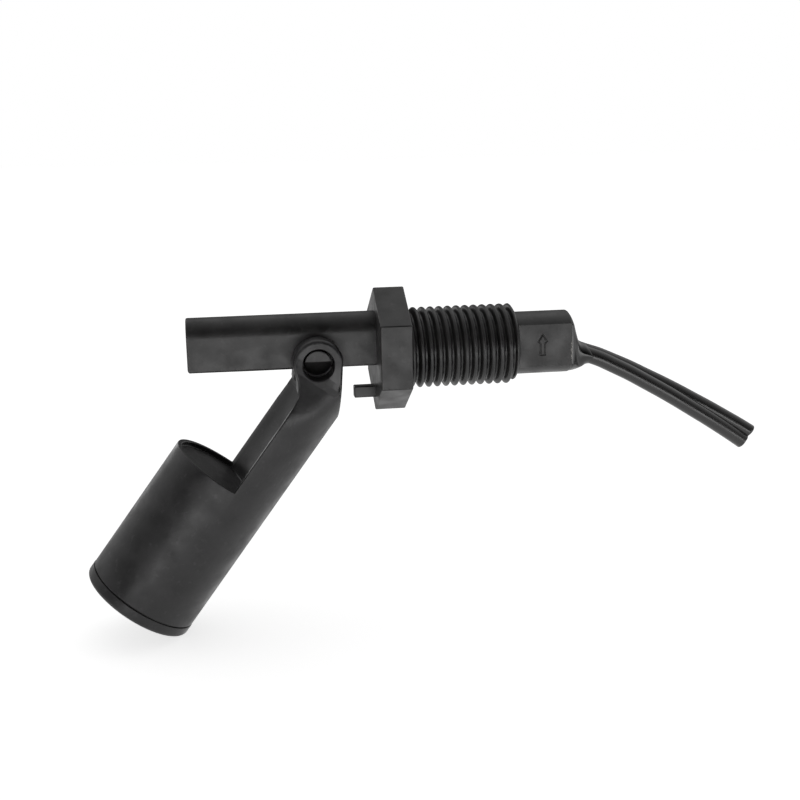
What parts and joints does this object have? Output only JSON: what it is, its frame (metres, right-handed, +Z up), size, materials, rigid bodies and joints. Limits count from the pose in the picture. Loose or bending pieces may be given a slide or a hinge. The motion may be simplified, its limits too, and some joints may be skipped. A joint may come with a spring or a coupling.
{
  "type": "float switch",
  "caption": "Side-entry float switch: hinged hollow float on a stem that holds a reed switch, hexagon, threaded shank and a short cable.",
  "frame": {"origin": "on the thread's axis, in the hexagon's sealing face, where the tank wall or gasket seats", "axes": "+X along the thread out of the tank to the cable; +Z up, the way the arrow on the tail points; the float hinges about an axis along Y"},
  "size_m": [0.1379, 0.023, 0.0681],
  "materials": {
    "body": "satin moulded polypropylene",
    "float": "satin moulded polypropylene",
    "magnet": "sintered ferrite",
    "reed_glass": "clear",
    "blade": "plated nickel iron",
    "solder": "bright",
    "sleeve": "shrink tube",
    "copper": "bare copper",
    "insulation_a": "smooth",
    "insulation_b": "smooth",
    "resin": "cast, glossy",
    "jacket": "semi-gloss"
  },
  "bodies": {
    "body": {"switch_body": "body", "reed_glass": "reed_glass", "reed_blade_tip": "blade", "reed_blade_tail": "blade", "solder_joint_tip": "solder", "solder_joint_tail": "solder", "sleeve_tip": "sleeve", "sleeve_tail": "sleeve", "copper_core_a": "copper", "copper_core_b": "copper", "core_insulation_a": "insulation_a", "core_insulation_b": "insulation_b", "potting_resin": "resin", "cable_jacket": "jacket"},
    "float": {"float_shell": "float", "float_end_cap": "float", "float_magnet": "magnet"}
  },
  "joints": [
    {"name": "float_swing", "type": "hinge", "parent": "body", "child": "float", "pos_m": [-0.0178, 0, -0.0011], "axis": [0, 1, 0], "range_deg": [-19.5, 53.3]}
  ]
}
